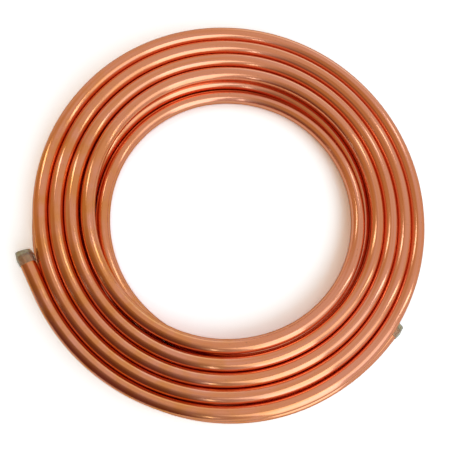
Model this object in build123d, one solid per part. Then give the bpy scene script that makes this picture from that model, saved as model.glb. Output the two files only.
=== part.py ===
"""Copper tube coil.

One length of soft copper tube, wound flat in two layers and closed at each
end by a plastic cap pushed over it. From its lower end the tube winds inward
along the lower layer, climbs to the upper layer over one half turn, and winds
outward again to its upper end. Every half turn is a true semicircle standing
on the split plane of the winding, so each one runs smoothly into the next.

Millimetres, Z up, the coil lying on the floor at Z = 0. The origin is the
middle of the coil's eye, on the floor.
"""

import os
from math import cos, radians, sin

from build123d import *

# The tube: 7/8 inch soft drawn copper.
TUBE_OD = 22.225
TUBE_WALL = 1.143

# The winding: the clear eye in the middle, the air between neighbouring
# turns and between the two layers, and the turn of the split plane from X.
EYE_DIAMETER = 378.3
TURNS_PER_LAYER = 4
TURN_GAP = 0.287
LAYER_GAP = 0.3
SPLIT_ANGLE = 114.9

# How far the first turn of each layer stands off from the innermost half
# turn, as shares of the tube's outside diameter: on the far side of the split
# plane and on the near side.
UPPER_STEP_SHARES = (1.482, 1.251)
LOWER_STEP_SHARES = (1.12, 0.68)

# The outermost lower turn has sprung a little way out from the turn inside
# it, and the half turn that the lower end leaves along opens out further.
# Both are shares of the tube's outside diameter.
SPRUNG_SHARE = 0.07
OPENED_SHARE = 2.66

# The two ends: the angle of the last half turn that each end follows, and the
# straight length left bare after it. The length in the cap follows that.
UPPER_END_ANGLE = 88.5
LOWER_END_ANGLE = 24.0
UPPER_BARE_LENGTH = 48.0
LOWER_BARE_LENGTH = 10.5

# The caps: soft turned cups, thin at the mouth and thickest at a belly part of
# the way along, with a hollow nose that tapers past the tube's end.
CAP_GRIP = 14.5
CAP_NOSE = 7.5
CAP_BELLY_SHARE = 0.42
CAP_MOUTH_WALL = 0.95
CAP_BELLY_WALL = 2.05
CAP_NOSE_RADIUS = 10.8
CAP_NOSE_WALL = 1.3
CAP_FLOOR = 1.5
CAP_CLEARANCE = 0.05
CAP_ROUND = 1.5

TUBE_RADIUS = TUBE_OD / 2
BORE_RADIUS = TUBE_RADIUS - TUBE_WALL
CAP_BORE_RADIUS = TUBE_RADIUS + CAP_CLEARANCE
CAP_RADIUS = CAP_BORE_RADIUS + CAP_BELLY_WALL
TURN_PITCH = TUBE_OD + TURN_GAP
EYE_REACH = EYE_DIAMETER / 2 + TUBE_RADIUS
LOW = TUBE_RADIUS
HIGH = LOW + TUBE_OD + LAYER_GAP

# The split plane's own directions: towards its far side, and the way the
# tube is heading where it crosses there.
FAR = Vector(cos(radians(SPLIT_ANGLE)), sin(radians(SPLIT_ANGLE)), 0)
ONWARD = Vector(FAR.Y, -FAR.X, 0)


def reaches(step_share, count):
    """Distances from the eye's middle at which a layer's turns cross one side of the split plane."""
    first = EYE_REACH + step_share * TUBE_OD
    return [first + turn * TURN_PITCH for turn in range(count)]


def crossing(side, reach, height):
    """The point where the tube's middle line crosses the split plane."""
    return FAR * (side * reach) + Vector(0, 0, height)


def section(point, heading):
    """The tube's ring section at a point, square to its heading."""
    return Plane(origin=point, z_dir=heading) * (Circle(TUBE_RADIUS) - Circle(BORE_RADIUS))


def turned(start, end, heading, angle):
    """The tube along the first part of the half turn from start to end."""
    spoke = (start - end) / 2
    axis = Axis((start + end) / 2, spoke.cross(heading))
    return revolve(section(start, heading), axis, angle)


def left_at(start, end, heading, angle):
    """The point and heading of the tube after an angle of the half turn from start to end."""
    spoke = (start - end) / 2
    turn = radians(angle)
    point = (start + end) / 2 + spoke * cos(turn) + heading * (spoke.length * sin(turn))
    return point, heading * cos(turn) - spoke.normalized() * sin(turn)


def straight(point, heading, bare_length):
    """The straight length that ends the tube, bare and then in its cap."""
    return extrude(section(point, heading), bare_length + CAP_GRIP, dir=heading)


def cap(point, heading, bare_length):
    """A cap whose nose starts to taper where the tube ends."""
    belly = CAP_BELLY_SHARE * (CAP_GRIP + CAP_NOSE) - CAP_GRIP
    skin = FilletPolyline(
        (0, CAP_NOSE),
        (CAP_NOSE_RADIUS, CAP_NOSE),
        (CAP_RADIUS, belly),
        (CAP_BORE_RADIUS + CAP_MOUTH_WALL, -CAP_GRIP),
        radius=CAP_ROUND,
    )
    lining = Polyline(
        (CAP_BORE_RADIUS + CAP_MOUTH_WALL, -CAP_GRIP),
        (CAP_BORE_RADIUS, -CAP_GRIP),
        (CAP_BORE_RADIUS, 0),
        (CAP_NOSE_RADIUS - CAP_NOSE_WALL, CAP_NOSE - CAP_FLOOR),
        (0, CAP_NOSE - CAP_FLOOR),
        (0, CAP_NOSE),
    )
    profile = Plane.XZ * make_face(skin + lining)
    cup = revolve(profile, Axis.Z)
    end_face = Plane(origin=point + heading * (bare_length + CAP_GRIP), z_dir=heading)
    return end_face * cup


# The crossings along the tube, lower layer from the outside in and then upper
# layer from the inside out. Near and far sides take turns.
lower_far = reaches(LOWER_STEP_SHARES[0], TURNS_PER_LAYER)
lower_near = reaches(LOWER_STEP_SHARES[1], TURNS_PER_LAYER + 1)
lower_far[-1] += SPRUNG_SHARE * TUBE_OD
lower_near[-1] += SPRUNG_SHARE * TUBE_OD
upper_far = reaches(UPPER_STEP_SHARES[0], TURNS_PER_LAYER + 1)
upper_near = reaches(UPPER_STEP_SHARES[1], TURNS_PER_LAYER)

lower = [crossing(1, EYE_REACH, LOW)]
for near, far in zip(lower_near, lower_far):
    lower += [crossing(-1, near, LOW), crossing(1, far, LOW)]
lower.append(crossing(-1, lower_near[-1], LOW))
upper = [crossing(-1, EYE_REACH, HIGH)]
for far, near in zip(upper_far, upper_near):
    upper += [crossing(1, far, HIGH), crossing(-1, near, HIGH)]
crossings = lower[::-1] + upper

# The half turn that the lower end leaves along leans up, so that the cap on
# that end clears the floor.
bend = radians(LOWER_END_ANGLE)
opened_reach = lower_near[-1] + OPENED_SHARE * TUBE_OD
bend_radius = (lower_near[-1] + opened_reach) / 2
run = bend_radius * (1 - cos(bend)) + LOWER_BARE_LENGTH * sin(bend)
lean = (CAP_RADIUS - TUBE_RADIUS) / run
lower_last = (crossings[0], crossing(1, opened_reach, LOW + 2 * bend_radius * lean), ONWARD, LOWER_END_ANGLE)
upper_last = (crossings[-1], crossing(1, upper_far[-1], HIGH), -ONWARD, UPPER_END_ANGLE)
lower_end = (*left_at(*lower_last), LOWER_BARE_LENGTH)
upper_end = (*left_at(*upper_last), UPPER_BARE_LENGTH)

lengths = [straight(*lower_end), turned(*lower_last)]
heading = -ONWARD
for start, end in zip(crossings, crossings[1:]):
    lengths.append(turned(start, end, heading, 180))
    heading = -heading
lengths += [turned(*upper_last), straight(*upper_end)]
tube = lengths[0].fuse(*lengths[1:])

os.makedirs("parts", exist_ok=True)
export_step(tube, "parts/copper_tube.step")
export_step(cap(*upper_end), "parts/upper_end_cap.step")
export_step(cap(*lower_end), "parts/lower_end_cap.step")
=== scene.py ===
"""The copper tube coil: its finish, its caps, and the light and camera, in metres with Z up."""

import bmesh
import bpy
import numpy as np
from mathutils import Matrix


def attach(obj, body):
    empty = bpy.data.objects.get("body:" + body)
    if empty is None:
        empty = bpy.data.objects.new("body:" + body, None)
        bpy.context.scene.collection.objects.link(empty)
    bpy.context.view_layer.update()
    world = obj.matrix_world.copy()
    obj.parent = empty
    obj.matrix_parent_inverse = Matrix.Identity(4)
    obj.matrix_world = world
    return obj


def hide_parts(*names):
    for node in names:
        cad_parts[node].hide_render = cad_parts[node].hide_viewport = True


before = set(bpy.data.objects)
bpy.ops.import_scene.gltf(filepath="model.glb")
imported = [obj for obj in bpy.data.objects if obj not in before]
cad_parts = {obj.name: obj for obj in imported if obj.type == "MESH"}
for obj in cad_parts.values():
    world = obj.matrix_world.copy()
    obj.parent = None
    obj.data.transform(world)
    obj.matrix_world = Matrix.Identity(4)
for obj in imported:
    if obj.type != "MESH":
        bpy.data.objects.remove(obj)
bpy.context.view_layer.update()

# The tube is one length of soft drawn copper, annealed so that it bends by
# hand. It was wound flat on a drum in two layers: from its lower end inward,
# up over one half turn, and outward again to its upper end.
TUBE_OD = 0.022225
TUBE_WALL = 0.001143
EYE_DIAMETER = 0.3783
TURNS_PER_LAYER = 4
TURN_GAP = 0.000287
LAYER_GAP = 0.0003
SPLIT_ANGLE = 114.9
UPPER_STEP_SHARES = (1.482, 1.251)
LOWER_STEP_SHARES = (1.12, 0.68)
SPRUNG_SHARE = 0.07
OPENED_SHARE = 2.66
UPPER_END_ANGLE = 88.5
LOWER_END_ANGLE = 24.0
UPPER_BARE_LENGTH = 0.048
LOWER_BARE_LENGTH = 0.0105
CAP_GRIP = 0.0145
CAP_CLEARANCE = 0.00005
CAP_BELLY_WALL = 0.00205

TUBE_SIDES = 32
RINGS_PER_TURN = 220
BORE_RINGS_PER_TURN = 70
END_RINGS = 5

TUBE_RADIUS = TUBE_OD / 2
BORE_RADIUS = TUBE_RADIUS - TUBE_WALL
CAP_LIFT = CAP_CLEARANCE + CAP_BELLY_WALL
EYE_REACH = EYE_DIAMETER / 2 + TUBE_RADIUS
LOW = TUBE_RADIUS
HIGH = LOW + TUBE_OD + LAYER_GAP
FAR = np.array([np.cos(np.radians(SPLIT_ANGLE)), np.sin(np.radians(SPLIT_ANGLE)), 0])
ONWARD = np.array([FAR[1], -FAR[0], 0])
UP = np.array([0.0, 0.0, 1.0])


def reaches(step_share, count):
    """Distances from the eye's middle where a layer's turns cross one side: first step plus whole pitches."""
    return EYE_REACH + step_share * TUBE_OD + np.arange(count) * (TUBE_OD + TURN_GAP)


def crossing(side, reach, height):
    """The point at a distance along the split plane, on the far side (1) or the near one (-1)."""
    return FAR * (side * reach) + UP * height


def half_turn(start, end, heading, angle, rings_per_turn):
    """Points and headings from 0 to an angle of the circle that has start to end as its diameter.

    A point is middle + spoke cos t + heading radius sin t, and its heading is the same formula's slope.
    """
    spoke = (start - end) / 2
    radius = np.linalg.norm(spoke)
    turn = np.radians(np.linspace(0, angle, int(rings_per_turn * angle / 360) + 1))[:, None]
    points = (start + end) / 2 + spoke * np.cos(turn) + heading * radius * np.sin(turn)
    return points, heading * np.cos(turn) - spoke / radius * np.sin(turn)


def winding(rings_per_turn):
    """Points and headings of the whole middle line, from the lower end to the upper one.

    Half turns run from crossing to crossing of the split plane, on its near and far sides in turn. The lower
    end follows part of a wider half turn, which leans up so that the cap clears the floor. The upper end
    follows part of the next half turn of its layer, and each end finishes straight.
    """
    lower_far = reaches(LOWER_STEP_SHARES[0], TURNS_PER_LAYER)
    lower_near = reaches(LOWER_STEP_SHARES[1], TURNS_PER_LAYER + 1)
    lower_far[-1] += SPRUNG_SHARE * TUBE_OD
    lower_near[-1] += SPRUNG_SHARE * TUBE_OD
    upper_far = reaches(UPPER_STEP_SHARES[0], TURNS_PER_LAYER + 1)
    upper_near = reaches(UPPER_STEP_SHARES[1], TURNS_PER_LAYER)
    stops = [crossing(-1, lower_near[-1], LOW)]
    for far, near in zip(lower_far[::-1], lower_near[-2::-1]):
        stops += [crossing(1, far, LOW), crossing(-1, near, LOW)]
    stops += [crossing(1, EYE_REACH, LOW), crossing(-1, EYE_REACH, HIGH)]
    for far, near in zip(upper_far, upper_near):
        stops += [crossing(1, far, HIGH), crossing(-1, near, HIGH)]

    bend = np.radians(LOWER_END_ANGLE)
    opened_reach = lower_near[-1] + OPENED_SHARE * TUBE_OD
    bend_radius = (lower_near[-1] + opened_reach) / 2
    run = bend_radius * (1 - np.cos(bend)) + LOWER_BARE_LENGTH * np.sin(bend)
    opened = crossing(1, opened_reach, LOW + 2 * bend_radius * CAP_LIFT / run)
    first, first_heading = half_turn(stops[0], opened, ONWARD, LOWER_END_ANGLE, rings_per_turn)
    last, last_heading = half_turn(
        stops[-1], crossing(1, upper_far[-1], HIGH), -ONWARD, UPPER_END_ANGLE, rings_per_turn
    )

    share = np.linspace(0, 1, END_RINGS + 1)[1:, None]
    points = [first[-1] + first_heading[-1] * (LOWER_BARE_LENGTH + CAP_GRIP) * share[::-1], first[::-1]]
    headings = [np.repeat(-first_heading[-1:], END_RINGS, 0), -first_heading[::-1]]
    heading = -ONWARD
    for start, end in zip(stops, stops[1:]):
        turn, turn_heading = half_turn(start, end, heading, 180, rings_per_turn)
        points.append(turn[1:])
        headings.append(turn_heading[1:])
        heading = -heading
    points += [last[1:], last[-1] + last_heading[-1] * (UPPER_BARE_LENGTH + CAP_GRIP) * share]
    headings += [last_heading[1:], np.repeat(last_heading[-1:], END_RINGS, 0)]
    return np.concatenate(points), np.concatenate(headings)


# The tube is soft, so its turns don't lie on true semicircles: how far each of
# these stretches lies off one, as the turns since the climb at its middle, half
# its length in turns, and its shift outwards and upwards.
STRETCHES = (
    (-4.92, 0.13, -0.0014, 0.0),
    (-3.78, 0.27, -0.0009, 0.0),
    (-2.78, 0.27, -0.0018, 0.0),
    (-1.78, 0.27, -0.0026, 0.0),
    (-0.80, 0.22, -0.0024, 0.0),
    (-0.55, 0.17, 0.0015, 0.0),
    (0.19, 0.17, 0.0023, 0.0),
    (0.49, 0.24, -0.0027, 0.0),
    (1.01, 0.17, -0.0028, 0.0),
    (1.48, 0.24, -0.0018, 0.0),
    (2.01, 0.17, -0.0021, 0.0),
    (2.47, 0.24, -0.0011, 0.0),
    (3.01, 0.17, -0.0015, 0.0),
    (3.47, 0.24, -0.0008, 0.0),
    (3.73, 0.24, 0.0, -0.0018),
)


def lain(points):
    """The winding as it lies, with each stretch shifted by a smooth hump.

    The hump is the stretch's shift times the squared cosine of the way from its middle to its ends.
    """
    spin = np.unwrap(np.arctan2(points[:, 1], points[:, 0])) / (2 * np.pi)
    climbed = np.argmax(np.isclose(points[:, 2], HIGH))
    turns = np.abs(spin - spin[climbed])
    turns[:climbed] *= -1
    outwards = points * (1, 1, 0)
    outwards /= np.linalg.norm(outwards, axis=1, keepdims=True)
    for middle, half, out, up in STRETCHES:
        hump = np.cos(np.clip((turns - middle) / half, -1, 1) * np.pi / 2)[:, None] ** 2
        points = points + hump * (out * outwards + up * UP)
    return points


def cross_directions(headings):
    """Two directions square to each heading: level and towards the outside, and upwards."""
    level = np.cross(headings, UP)
    level /= np.linalg.norm(level, axis=1, keepdims=True)
    return level, np.cross(level, headings)


def carried(points, headings, radius):
    """A circle carried along a path, a ring to a point: point + radius (sin a level + cos a upwards)."""
    level, upwards = cross_directions(headings)
    angle = np.linspace(0, 2 * np.pi, TUBE_SIDES, endpoint=False)[None, :, None]
    return points[:, None] + radius * (np.sin(angle) * level[:, None] + np.cos(angle) * upwards[:, None])


def drawn_places(points, radius):
    """Where each surface point lay before winding: two places across the straight tube and one along it."""
    along = np.concatenate([[0], np.cumsum(np.linalg.norm(np.diff(points, axis=0), axis=1))])
    angle = np.linspace(0, 2 * np.pi, TUBE_SIDES, endpoint=False)
    places = np.empty((len(points), TUBE_SIDES, 3))
    places[..., :2] = radius * np.stack([np.sin(angle), np.cos(angle)], -1)
    places[..., 2] = along[:, None]
    return places


def wound_corners(rows, sides):
    """Each face corner's place on the unrolled skin: the share round the tube and the share along it."""
    side, row = np.meshgrid(np.arange(sides), np.arange(rows))
    u = np.stack([side, side + 1, side + 1, side], -1) / sides
    v = np.stack([row, row, row + 1, row + 1], -1) / rows
    return np.stack([u, v], -1)


def piece_from_grid(name, grid, material, closed):
    """A mesh object of a grid of rings, with a face for each cell.

    Each ring closes on itself, and if closed, the last ring also meets the first.
    """
    rows, sides = grid.shape[:2]
    index = np.arange(rows * sides).reshape(rows, sides)
    upper = np.roll(index, -1, 0) if closed else index[1:]
    lower = index if closed else index[:-1]
    faces = np.stack([lower, np.roll(lower, -1, 1), np.roll(upper, -1, 1), upper], -1).reshape(-1, 4)
    mesh = bpy.data.meshes.new(name)
    mesh.from_pydata(grid.reshape(-1, 3).tolist(), [], faces.tolist())
    mesh.polygons.foreach_set("use_smooth", np.ones(len(mesh.polygons), bool))
    mesh.materials.append(material)
    piece = bpy.data.objects.new(name, mesh)
    bpy.context.scene.collection.objects.link(piece)
    return piece


def new_material(name):
    """A new node material, its node tree and its shader."""
    material = bpy.data.materials.new(name)
    material.use_nodes = True
    tree = material.node_tree
    return material, tree, tree.nodes["Principled BSDF"]


def noise(tree, source, scale, detail):
    """A noise over a vector, scaled each way by marks to the metre; its value runs about 0.3 to 0.7."""
    mapping = tree.nodes.new("ShaderNodeMapping")
    mapping.inputs["Scale"].default_value = scale
    texture = tree.nodes.new("ShaderNodeTexNoise")
    texture.inputs["Scale"].default_value = 1
    texture.inputs["Detail"].default_value = detail
    tree.links.new(source, mapping.inputs["Vector"])
    tree.links.new(mapping.outputs["Vector"], texture.inputs["Vector"])
    return texture.outputs["Fac"]


def ramp(tree, source, stops):
    """A colour ramp over a value; stops are pairs of place and colour."""
    node = tree.nodes.new("ShaderNodeValToRGB")
    elements = node.color_ramp.elements
    while len(elements) < len(stops):
        elements.new(0.5)
    for element, (place, colour) in zip(elements, stops):
        element.position = place
        element.color = (*colour, 1)
    tree.links.new(source, node.inputs["Fac"])
    return node.outputs["Color"]


def bumped(tree, height, distance, under=None):
    """A normal that follows a height of 0 to 1 over a distance in metres, on top of another such normal."""
    bump = tree.nodes.new("ShaderNodeBump")
    bump.inputs["Distance"].default_value = distance
    tree.links.new(height, bump.inputs["Height"])
    if under:
        tree.links.new(under, bump.inputs["Normal"])
    return bump.outputs["Normal"]


def way_along(tree, source, direction):
    """How far a vector goes along a direction: the dot product of the two."""
    dot = tree.nodes.new("ShaderNodeVectorMath")
    dot.operation = "DOT_PRODUCT"
    dot.inputs[1].default_value = direction
    tree.links.new(source, dot.inputs[0])
    return dot.outputs["Value"]


def between(tree, source, low, high, most=1.0, easing="LINEAR"):
    """A value that goes from 0 where the source is at low to its most where the source is at high."""
    share = tree.nodes.new("ShaderNodeMapRange")
    share.interpolation_type = easing
    share.inputs["From Min"].default_value = low
    share.inputs["From Max"].default_value = high
    share.inputs["To Max"].default_value = most
    tree.links.new(source, share.inputs["Value"])
    return share.outputs["Result"]


def multiplied(tree, one, other):
    """The product of two values."""
    product = tree.nodes.new("ShaderNodeMath")
    product.operation = "MULTIPLY"
    tree.links.new(one, product.inputs[0])
    tree.links.new(other, product.inputs[1])
    return product.outputs["Value"]


def blended(tree, factor, under, over):
    """A colour laid over another by a factor; the one under it is a colour or a colour's socket."""
    mix = tree.nodes.new("ShaderNodeMix")
    mix.data_type = "RGBA"
    mix.inputs["B"].default_value = (*over, 1)
    tree.links.new(factor, mix.inputs["Factor"])
    if isinstance(under, tuple):
        mix.inputs["A"].default_value = (*under, 1)
    else:
        tree.links.new(under, mix.inputs["A"])
    return mix.outputs["Result"]


COPPER = (0.92, 0.38, 0.21)
COPPER_WARM = (0.90, 0.345, 0.155)
COPPER_PINK = (0.93, 0.40, 0.255)
COPPER_ORANGE_PATCH = (0.88, 0.345, 0.115)
COPPER_SPECK = (0.42, 0.20, 0.09)
COPPER_EDGE = (0.72, 0.5, 0.38)
COPPER_ROUGHNESS = 0.165
DIE_LINE_SPREAD = 0.6

# Marks to the metre: across the tube both ways and then along it for what was
# drawn with the tube, and across the coil for what came later.
STREAK_SCALE = (210, 210, 4)
DENT_SCALE = (60, 60, 25)
DIE_LINE_SCALE = (300, 300, 2)
BLOTCH_SCALE = (38, 38, 38)
SPECK_SCALE = (420, 420, 420)
DENT_DEPTH = 0.0001
DIE_LINE_DEPTH = 0.00018

# The streaks' colours by the value of their noise, the values at which the
# blotches and specks begin and are full, and how much of the copper a speck
# hides. The more orange blotches begin and are full at these distances
# towards the lower left.
STREAK_COLOURS = ((0.32, COPPER_WARM), (0.5, COPPER), (0.68, COPPER_PINK))
BLOTCH_RANGE = (0.40, 0.64)
SPECK_RANGE = (0.68, 0.74)
SPECK_COVER = 0.6
ORANGE_PATCH_SIDE = (-0.9, -0.44, 0.0)
ORANGE_PATCH_RANGE = (-0.03, 0.2)


def copper():
    """Drawn copper: its die lines spread light round the tube, with streaks, more orange blotches towards one
    side and specks.

    The streaks, lines and dents follow the tube as it was drawn, before it was wound. The more orange
    blotches
    lie across the turns: a noise past a limit, times the way towards the lower left side.
    """
    material, tree, shader = new_material("drawn_copper")
    drawn = tree.nodes.new("ShaderNodeAttribute")
    drawn.attribute_name = "drawn"
    tube_place = drawn.outputs["Vector"]
    coil_place = tree.nodes.new("ShaderNodeTexCoord").outputs["Object"]

    colour = ramp(tree, noise(tree, tube_place, STREAK_SCALE, detail=3), STREAK_COLOURS)
    # The copper is more orange in blotches towards the lower left side of the coil.
    side = between(tree, way_along(tree, coil_place, ORANGE_PATCH_SIDE), *ORANGE_PATCH_RANGE)
    blotches = between(tree, noise(tree, coil_place, BLOTCH_SCALE, detail=5), *BLOTCH_RANGE)
    colour = blended(tree, multiplied(tree, side, blotches), colour, COPPER_ORANGE_PATCH)
    specks = between(tree, noise(tree, coil_place, SPECK_SCALE, detail=2), *SPECK_RANGE, SPECK_COVER)
    tree.links.new(blended(tree, specks, colour, COPPER_SPECK), shader.inputs["Base Color"])

    dents = bumped(tree, noise(tree, tube_place, DENT_SCALE, detail=2), DENT_DEPTH)
    lines = bumped(tree, noise(tree, tube_place, DIE_LINE_SCALE, detail=2), DIE_LINE_DEPTH, dents)
    tree.links.new(lines, shader.inputs["Normal"])
    round_tube = tree.nodes.new("ShaderNodeTangent")
    round_tube.direction_type = "UV_MAP"
    round_tube.uv_map = "wound"
    tree.links.new(round_tube.outputs["Tangent"], shader.inputs["Tangent"])
    shader.inputs["Metallic"].default_value = 1.0
    shader.inputs["Roughness"].default_value = COPPER_ROUGHNESS
    shader.inputs["Anisotropic"].default_value = DIE_LINE_SPREAD
    shader.inputs["Specular Tint"].default_value = (*COPPER_EDGE, 1)
    return material


outside_points, outside_headings = winding(RINGS_PER_TURN)
bore_points, bore_headings = winding(BORE_RINGS_PER_TURN)
outside_points = lain(outside_points)
bore_points = lain(bore_points)
tube_grid = np.concatenate([
    carried(outside_points, outside_headings, TUBE_RADIUS),
    carried(bore_points, bore_headings, BORE_RADIUS)[::-1],
])
drawn = np.concatenate([
    drawn_places(outside_points, TUBE_RADIUS),
    drawn_places(bore_points, BORE_RADIUS)[::-1],
])
tube = piece_from_grid("copper_tube_wound", tube_grid, copper(), closed=True)
tube.data.attributes.new("drawn", "FLOAT_VECTOR", "POINT").data.foreach_set("vector", drawn.ravel())
tube.data.uv_layers.new(name="wound").data.foreach_set("uv", wound_corners(*tube_grid.shape[:2]).ravel())
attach(tube, "root")
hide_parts("copper_tube")

# Each end of the tube is closed by a push-on cap of soft translucent plastic,
# thin at the mouth, thickest at a belly and tapered over a hollow nose. The
# copper shows through where the cap grips it.
CAP_NOSE = 0.0075
CAP_BELLY_SHARE = 0.42
CAP_MOUTH_WALL = 0.00095
CAP_NOSE_RADIUS = 0.0108
CAP_NOSE_WALL = 0.0013
CAP_FLOOR = 0.0015
CAP_ROUND = 0.0015
CAP_EDGE = 0.0003
CAP_SIDES = 64
CAP_CORNER_RINGS = 8
CAP_MERGE_DISTANCE = 1e-7
UPPER_NOSE_SLANT = 6
LOWER_NOSE_SLANT = 0


def rounded(corners, radii):
    """A polyline with each inner corner replaced by a parabola.

    The parabola leaves both sides at the corner's own distance: corner + radius (into (1 - t)^2 + out t^2).
    """
    corners = np.array(corners)
    t = np.linspace(0, 1, CAP_CORNER_RINGS)[:, None]
    path = [corners[:1]]
    for before, corner, after, radius in zip(corners, corners[1:], corners[2:], radii):
        into = (before - corner) / np.linalg.norm(before - corner)
        out = (after - corner) / np.linalg.norm(after - corner)
        path.append(corner + radius * (into * (1 - t) ** 2 + out * t**2))
    return np.concatenate([*path, corners[-1:]])


def cap_grid(point, heading, nose_slant):
    """The cap's profile turned about the tube's end: point + heading s + r (sin a level + cos a upwards).

    The nose of a cap that was pushed on crooked is slanted by an angle in degrees about its outer edge. Past
    the tube's end, s shrinks by its share of the nose times the distance from that edge times the tangent.
    """
    bore = TUBE_RADIUS + CAP_CLEARANCE
    belly = CAP_BELLY_SHARE * (CAP_GRIP + CAP_NOSE) - CAP_GRIP
    skin = [
        (0, CAP_NOSE),
        (CAP_NOSE_RADIUS, CAP_NOSE),
        (bore + CAP_BELLY_WALL, belly),
        (bore + CAP_MOUTH_WALL, -CAP_GRIP),
    ]
    lining = [
        (bore, -CAP_GRIP),
        (bore, 0),
        (CAP_NOSE_RADIUS - CAP_NOSE_WALL, CAP_NOSE - CAP_FLOOR),
        (0, CAP_NOSE - CAP_FLOOR),
    ]
    profile = rounded(skin + lining, [CAP_ROUND, CAP_ROUND] + [CAP_EDGE] * len(lining))
    radius, along = profile.T[:, :, None]
    level, upwards = cross_directions(heading[None])
    angle = np.linspace(0, 2 * np.pi, CAP_SIDES, endpoint=False)[None, :]
    aside, above = radius * np.sin(angle), radius * np.cos(angle)
    slant = np.clip(along / CAP_NOSE, 0, 1) * np.tan(np.radians(nose_slant))
    along = along - slant * (aside + CAP_NOSE_RADIUS)
    return point + along[..., None] * heading + aside[..., None] * level + above[..., None] * upwards


CAP_PALE = (0.82, 0.79, 0.62)
CAP_CLOUDED = (0.66, 0.62, 0.45)
CLOUD_COLOURS = ((0.35, CAP_CLOUDED), (0.65, CAP_PALE))
CLOUD_SCALE = (240, 240, 240)
SCUFF_SCALE = (900, 900, 900)
SCUFF_DEPTH = 0.00005
PLASTIC_ROUGHNESS = 0.22
PLASTIC_IOR = 1.2
PLASTIC_SHINE = 0.7
PLASTIC_SHINE_ROUGHNESS = 0.25
PLASTIC_CLEARNESS = 0.88


def cap_plastic():
    """Soft grey-green plastic that lets light through, scuffed and a little cloudy."""
    material, tree, shader = new_material("translucent_plastic")
    cap_place = tree.nodes.new("ShaderNodeTexCoord").outputs["Object"]
    clouds = ramp(tree, noise(tree, cap_place, CLOUD_SCALE, detail=3), CLOUD_COLOURS)
    scuffs = bumped(tree, noise(tree, cap_place, SCUFF_SCALE, detail=3), SCUFF_DEPTH)
    tree.links.new(clouds, shader.inputs["Base Color"])
    tree.links.new(scuffs, shader.inputs["Normal"])
    shader.inputs["Roughness"].default_value = PLASTIC_ROUGHNESS
    shader.inputs["IOR"].default_value = PLASTIC_IOR
    shader.inputs["Coat Weight"].default_value = PLASTIC_SHINE
    shader.inputs["Coat Roughness"].default_value = PLASTIC_SHINE_ROUGHNESS
    shader.inputs["Transmission Weight"].default_value = PLASTIC_CLEARNESS
    return material


plastic = cap_plastic()
for name, point, heading, nose_slant in (
    ("upper_end_cap", outside_points[-1], outside_headings[-1], UPPER_NOSE_SLANT),
    ("lower_end_cap", outside_points[0], -outside_headings[0], LOWER_NOSE_SLANT),
):
    cap = piece_from_grid(name + "_pushed_on", cap_grid(point, heading, nose_slant), plastic, closed=False)
    shape = bmesh.new()
    shape.from_mesh(cap.data)
    bmesh.ops.remove_doubles(shape, verts=shape.verts, dist=CAP_MERGE_DISTANCE)
    bmesh.ops.recalc_face_normals(shape, faces=shape.faces)
    shape.to_mesh(cap.data)
    shape.free()
    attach(cap, "root")
    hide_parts(name)

# The floor is a plain pale sheet, far wider than the view. It looks white,
# straight or in the metal, and lights the coil as a pale one does.
FLOOR_HALF = 6.0
FLOOR_COLOUR = (0.8, 0.8, 0.8)
FLOOR_MIRRORED_COLOUR = (0.95, 1.0, 1.04)
FLOOR_SEEN_COLOUR = (1.68, 1.79, 1.88)


def flat_sheet(name, corners, material):
    """A mesh object of one flat face on four corners."""
    mesh = bpy.data.meshes.new(name)
    mesh.from_pydata(corners.tolist(), [], [(0, 1, 2, 3)])
    mesh.materials.append(material)
    sheet = bpy.data.objects.new(name, mesh)
    bpy.context.scene.collection.objects.link(sheet)
    return sheet


def pale_floor():
    """A matt pale sheet with a colour for each kind of ray, which keeps the shadows that fall on it."""
    material, tree, shader = new_material("pale_floor")
    tree.nodes.remove(shader)
    path = tree.nodes.new("ShaderNodeLightPath")
    colour = FLOOR_COLOUR
    for ray, seen in (
        ("Is Glossy Ray", FLOOR_MIRRORED_COLOUR),
        ("Is Transmission Ray", FLOOR_MIRRORED_COLOUR),
        ("Is Camera Ray", FLOOR_SEEN_COLOUR),
    ):
        colour = blended(tree, path.outputs[ray], colour, seen)
    matt = tree.nodes.new("ShaderNodeBsdfDiffuse")
    tree.links.new(colour, matt.inputs["Color"])
    tree.links.new(matt.outputs["BSDF"], tree.nodes["Material Output"].inputs["Surface"])
    return material


floor_corners = FLOOR_HALF * np.array([(-1, -1, 0), (1, -1, 0), (1, 1, 0), (-1, 1, 0)])
floor = flat_sheet("floor", floor_corners, pale_floor())

# The light is a pale room and soft panels, a broad one from the lower right
# and six small ones. The room is darker and warmer at the lower left, and has
# a pale window low at the top of the picture.
PANEL_COLOUR = (0.66, 0.88, 1.0)
PANEL_DISTANCE = 2.0

# Each panel's azimuth and elevation in degrees, width, height and radiance.
PANELS = {
    "broad_panel": (299, 33, 0.87, 2.7, 1.36),
    "side_panel": (328, 50, 0.6, 1.4, 0.8),
    "left_panel": (150, 50, 0.13, 0.8, 3.8),
    "upper_right_panel": (37, 52, 0.12, 0.5, 3.2),
    "right_panel": (348, 42, 0.1, 0.85, 3.8),
    "lower_left_panel": (204, 18, 0.04, 0.55, 6.0),
    "lower_panel": (269, 30, 0.05, 0.7, 9.0),
}

ROOM_COLOUR = (0.65, 0.605, 0.60)
WALL_COLOUR = (0.43, 0.34, 0.17)
DARK_COLOUR = (0.36, 0.28, 0.20)
OVERHEAD_COLOUR = (0.50, 0.35, 0.175)
WINDOW_COLOUR = (0.9, 1.12, 1.28)
BACKDROP_COLOUR = (1.0, 1.0, 1.0)

# Patches of the room in degrees: the azimuth of an upright one, or the azimuth
# and elevation of a round one, and the angles from there within which it is
# full and past which there is none of it.
UPRIGHT_PATCHES = (
    (185, 14, 55, WALL_COLOUR),
    (229, 16, 42, DARK_COLOUR),
)
ROUND_PATCHES = (
    (185, 45, 25, 48, OVERHEAD_COLOUR),
    (66, 3, 16, 30, WINDOW_COLOUR),
)


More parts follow.
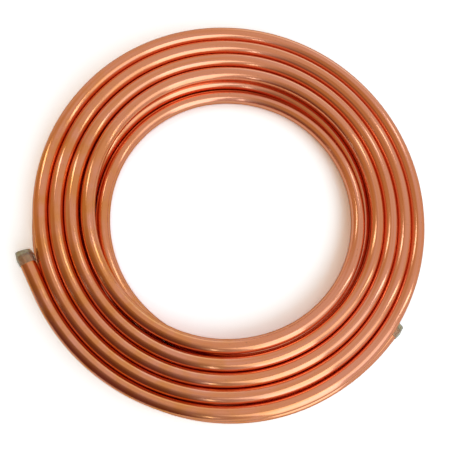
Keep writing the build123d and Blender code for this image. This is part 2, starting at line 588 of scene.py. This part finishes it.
def pointing(azimuth, elevation):
    """The unit direction at an azimuth from X towards Y and an elevation from the floor, in degrees."""
    azimuth, elevation = np.radians([azimuth, elevation])
    level = np.cos(elevation)
    return np.array([np.cos(azimuth) * level, np.sin(azimuth) * level, np.sin(elevation)])


def panel(name, azimuth, elevation, width, height, radiance):
    """A soft rectangular lamp at an azimuth and elevation from the coil, facing it, of one radiance."""
    lamp = bpy.data.lights.new(name, "AREA")
    lamp.shape = "RECTANGLE"
    lamp.size = width
    lamp.size_y = height
    lamp.energy = radiance * np.pi * width * height
    lamp.color = PANEL_COLOUR
    holder = bpy.data.objects.new(name, lamp)
    holder.location = PANEL_DISTANCE * pointing(azimuth, elevation)
    holder.rotation_euler = holder.location.to_track_quat("Z", "Y").to_euler()
    bpy.context.scene.collection.objects.link(holder)


def patch(tree, direction, azimuth, elevation, full, none):
    """How near a direction is to a patch's middle: 1 within its full angle, falling smoothly to 0 at none."""
    nearness = way_along(tree, direction, pointing(azimuth, elevation))
    return between(tree, nearness, np.cos(np.radians(none)), np.cos(np.radians(full)), easing="SMOOTHSTEP")


def room():
    """The room by direction: pale, with a warm wall, a dark stretch beside it, a warm overhead and a window.

    The wall and the stretch go by the level part of a direction alone, so they reach from the floor upwards.
    The camera alone sees a white backdrop in the room's place.
    """
    world = bpy.data.worlds.new("room")
    world.use_nodes = True
    tree = world.node_tree
    direction = tree.nodes.new("ShaderNodeTexCoord").outputs["Generated"]
    level = tree.nodes.new("ShaderNodeVectorMath")
    level.operation = "MULTIPLY"
    level.inputs[1].default_value = (1, 1, 0)
    heading = tree.nodes.new("ShaderNodeVectorMath")
    heading.operation = "NORMALIZE"
    tree.links.new(direction, level.inputs[0])
    tree.links.new(level.outputs["Vector"], heading.inputs[0])
    colour = ROOM_COLOUR
    for azimuth, full, none, tint in UPRIGHT_PATCHES:
        upright = patch(tree, heading.outputs["Vector"], azimuth, 0, full, none)
        colour = blended(tree, upright, colour, tint)
    for azimuth, elevation, full, none, tint in ROUND_PATCHES:
        colour = blended(tree, patch(tree, direction, azimuth, elevation, full, none), colour, tint)
    looked_at = tree.nodes.new("ShaderNodeLightPath").outputs["Is Camera Ray"]
    colour = blended(tree, looked_at, colour, BACKDROP_COLOUR)
    tree.links.new(colour, tree.nodes["Background"].inputs["Color"])
    return world


for name, measures in PANELS.items():
    panel(name, *measures)
bpy.context.scene.world = room()

# A dark card stands behind the camera, at the lower left, and gives the metal
# a dark side. It shows in the metal alone.
CARD_AZIMUTH = 232
CARD_FOOT_DISTANCE = 0.62
CARD_TOP_DISTANCE = 0.17
CARD_HALF_WIDTH = 0.55
CARD_HEIGHT = 0.62
CARD_COLOUR = (0.13, 0.05, 0.042)
CARD_COVER = 6


def dark_card():
    """A brown card of one even level that fades out towards its edges and its top.

    Across the card's own face coordinates its cover is CARD_COVER u (1 - u) (1 - v), held to 1.
    """
    material, tree, shader = new_material("dark_card")
    tree.nodes.remove(shader)
    place = tree.nodes.new("ShaderNodeSeparateXYZ")
    tree.links.new(tree.nodes.new("ShaderNodeTexCoord").outputs["UV"], place.inputs["Vector"])
    u = place.outputs["X"]
    v = place.outputs["Y"]
    cover = multiplied(tree, multiplied(tree, u, between(tree, u, 1, 0)), between(tree, v, 1, 0))
    glow = tree.nodes.new("ShaderNodeEmission")
    glow.inputs["Color"].default_value = (*CARD_COLOUR, 1)
    clear = tree.nodes.new("ShaderNodeBsdfTransparent")
    faded = tree.nodes.new("ShaderNodeMixShader")
    tree.links.new(between(tree, cover, 0, 1 / CARD_COVER), faded.inputs["Fac"])
    tree.links.new(clear.outputs["BSDF"], faded.inputs[1])
    tree.links.new(glow.outputs["Emission"], faded.inputs[2])
    tree.links.new(faded.outputs["Shader"], tree.nodes["Material Output"].inputs["Surface"])
    return material


card_side = pointing(CARD_AZIMUTH, 0)
card_aside = CARD_HALF_WIDTH * np.cross(UP, card_side)
card_foot = CARD_FOOT_DISTANCE * card_side
card_top = CARD_TOP_DISTANCE * card_side + CARD_HEIGHT * UP
card_corners = np.array([
    card_foot - card_aside,
    card_foot + card_aside,
    card_top + card_aside,
    card_top - card_aside,
])
card = flat_sheet("card", card_corners, dark_card())
card.data.uv_layers.new(name="face").data.foreach_set("uv", [0, 0, 1, 0, 1, 1, 0, 1])
card.visible_camera = False
card.visible_diffuse = False
card.visible_transmission = False
card.visible_shadow = False

# The camera stands over the lower left of the coil and looks almost straight
# down. Its focal length is in pixels of the picture.
CAMERA_PLACE = (-0.08768, -0.14469, 0.76893)
CAMERA_TARGET = (-0.01213, -0.01912, 0.02223)
CAMERA_NEAREST = 0.05
CAMERA_FURTHEST = 50.0
SENSOR_WIDTH = 36.0
PICTURE_WIDTH = 452
PICTURE_UP = (0, 1, 0)
FOCAL_PIXELS = 485.14

camera_data = bpy.data.cameras.new("camera")
camera_data.sensor_fit = "HORIZONTAL"
camera_data.sensor_width = SENSOR_WIDTH
camera_data.lens = FOCAL_PIXELS / PICTURE_WIDTH * SENSOR_WIDTH
camera_data.clip_start = CAMERA_NEAREST
camera_data.clip_end = CAMERA_FURTHEST
camera = bpy.data.objects.new("camera", camera_data)
onward = np.subtract(CAMERA_TARGET, CAMERA_PLACE)
onward /= np.linalg.norm(onward)
right = np.cross(onward, PICTURE_UP)
right /= np.linalg.norm(right)
turned = np.eye(4)
turned[:3] = np.stack([right, np.cross(right, onward), -onward, CAMERA_PLACE], axis=1)
camera.matrix_world = Matrix(turned.tolist())
bpy.context.scene.collection.objects.link(camera)
bpy.context.scene.camera = camera
bpy.context.scene.view_settings.view_transform = "Standard"

# Light reaches the bottom of the grooves between the turns by many reflections.
GLOSSY_BOUNCES = 16
ALL_BOUNCES = 24
bpy.context.scene.cycles.glossy_bounces = GLOSSY_BOUNCES
bpy.context.scene.cycles.max_bounces = ALL_BOUNCES
